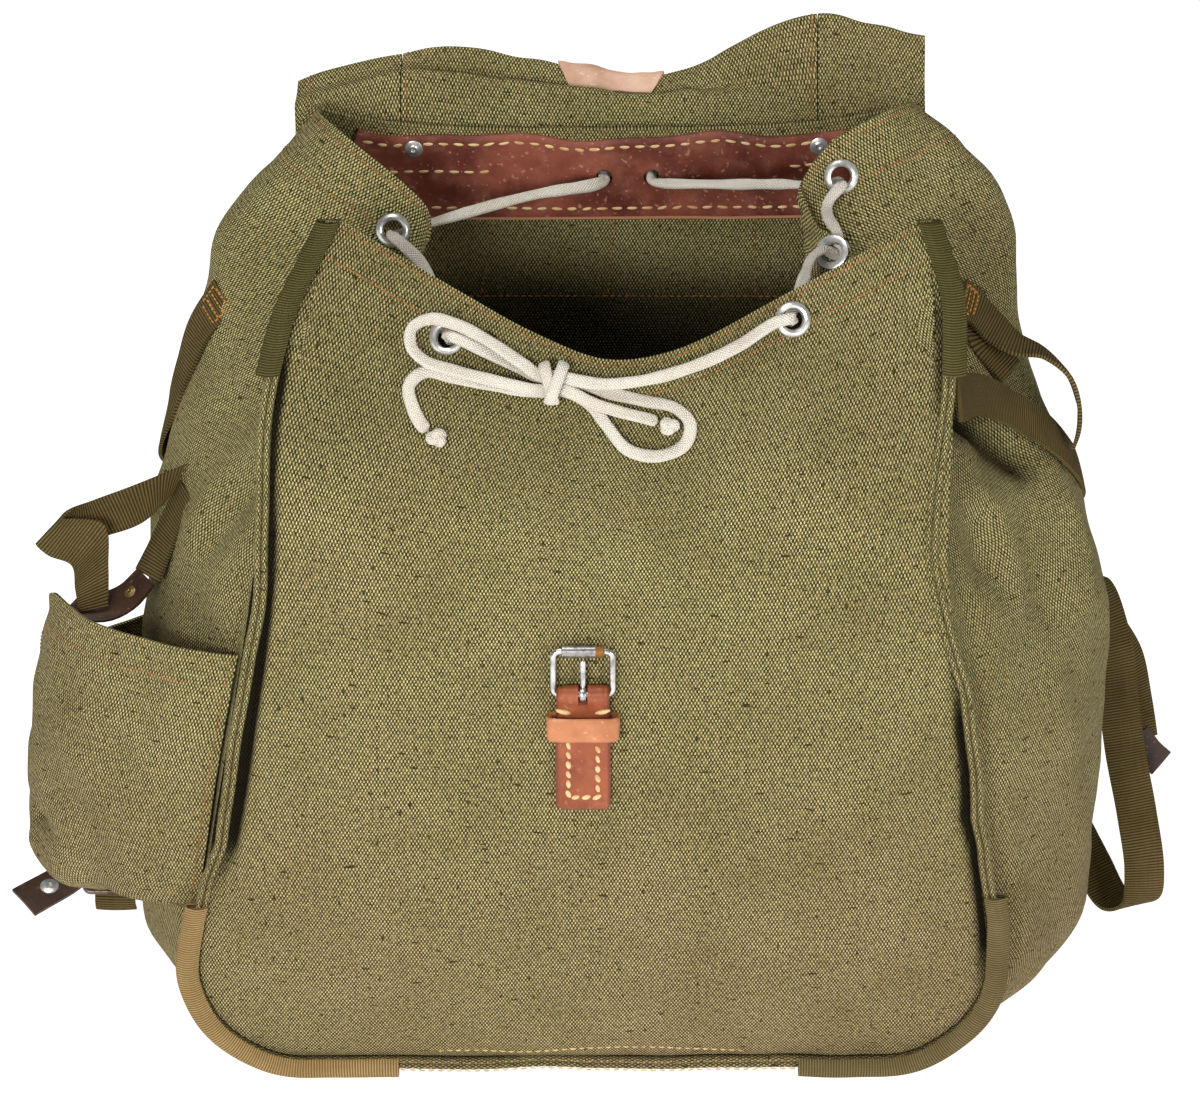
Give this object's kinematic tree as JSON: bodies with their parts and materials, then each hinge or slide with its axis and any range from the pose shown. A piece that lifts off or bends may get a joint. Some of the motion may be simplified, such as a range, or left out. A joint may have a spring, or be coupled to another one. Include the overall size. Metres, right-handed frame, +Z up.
{
  "type": "rucksack",
  "caption": "Soft canvas rucksack standing upright with its drawcord mouth open, the lid thrown back, a side pocket, webbing straps, leather trim and an open roller buckle.",
  "frame": {"origin": "on the floor under the middle of the base, in the plane of the front buckle", "axes": "+X to the right seen from the front, +Y from the front panel to the back, +Z up"},
  "size_m": [0.5935, 0.2734, 0.458],
  "materials": {
    "canvas": "coarse plain-weave cotton canvas, worn olive",
    "binding_olive": "ribbed olive binding tape",
    "binding_tan": "ribbed tan binding tape",
    "binding_brown": "ribbed brown-olive binding tape",
    "webbing": "flat cotton webbing with cross ribs",
    "cotton_cord": "off-white flat braided cotton",
    "band_leather": "scratched dark red-brown leather",
    "tab_leather": "tan-orange harness leather, waxed",
    "patch_leather": "pale pink-tan split leather",
    "strap_leather": "dark brown strap leather",
    "nickel": "nickel plate, lightly tarnished",
    "steel": "worn bright steel with a little rust"
  },
  "bodies": {
    "bag": {"front_panel": "canvas", "gusset": "canvas", "back_panel": "canvas", "eyelet_front_left": "nickel", "eyelet_front_right": "nickel", "eyelet_side_left_back": "nickel", "eyelet_side_right_back": "nickel", "eyelet_side_left_front": "nickel", "eyelet_side_right_front": "nickel", "front_welt": "canvas", "back_welt": "canvas", "binding_upper_left": "binding_olive", "binding_lower_left": "binding_tan", "binding_lower_right": "binding_brown", "binding_upper_right": "binding_olive", "back_band": "band_leather", "band_rivet_left": "nickel", "band_rivet_right": "nickel", "lid_panel": "canvas", "lid_side_left": "canvas", "lid_side_right": "canvas", "lid_patch": "patch_leather", "lid_strap": "tab_leather", "side_pocket": "canvas", "buckle_tab": "tab_leather", "buckle_keeper": "tab_leather", "drawcord_right": "cotton_cord", "drawcord_left": "cotton_cord", "cord_knot_right": "cotton_cord", "cord_knot_left": "cotton_cord", "bow_knot": "cotton_cord", "side_strap_right": "webbing", "side_loop_right": "webbing", "side_strap_left": "webbing", "pocket_strap": "webbing", "pocket_strap_lower": "webbing", "pocket_tab": "strap_leather", "pocket_rivet": "nickel", "shoulder_strap_right": "webbing", "shoulder_strap_left": "webbing", "strap_tail_right": "webbing", "strap_tip_right": "strap_leather", "strap_tip_left": "strap_leather", "strap_buckle_left": "steel", "strap_rivet_left": "nickel"},
    "frame": {"buckle_frame": "steel"},
    "prong": {"buckle_prong": "steel"},
    "roller": {"buckle_roller": "steel"}
  },
  "joints": [
    {"name": "frame_swing", "type": "hinge", "parent": "bag", "child": "frame", "pos_m": [0.0004, -0.12344, 0.21826], "axis": [1, 0, 0], "range_deg": [0, 110]},
    {"name": "prong_swing", "type": "hinge", "parent": "bag", "child": "prong", "pos_m": [0.0004, -0.12344, 0.21826], "axis": [1, 0, 0], "range_deg": [0, 125]},
    {"name": "roller_spin", "type": "hinge", "parent": "frame", "child": "roller", "pos_m": [0.0004, -0.12227, 0.23913], "axis": [1, 0, 0], "continuous": true}
  ]
}
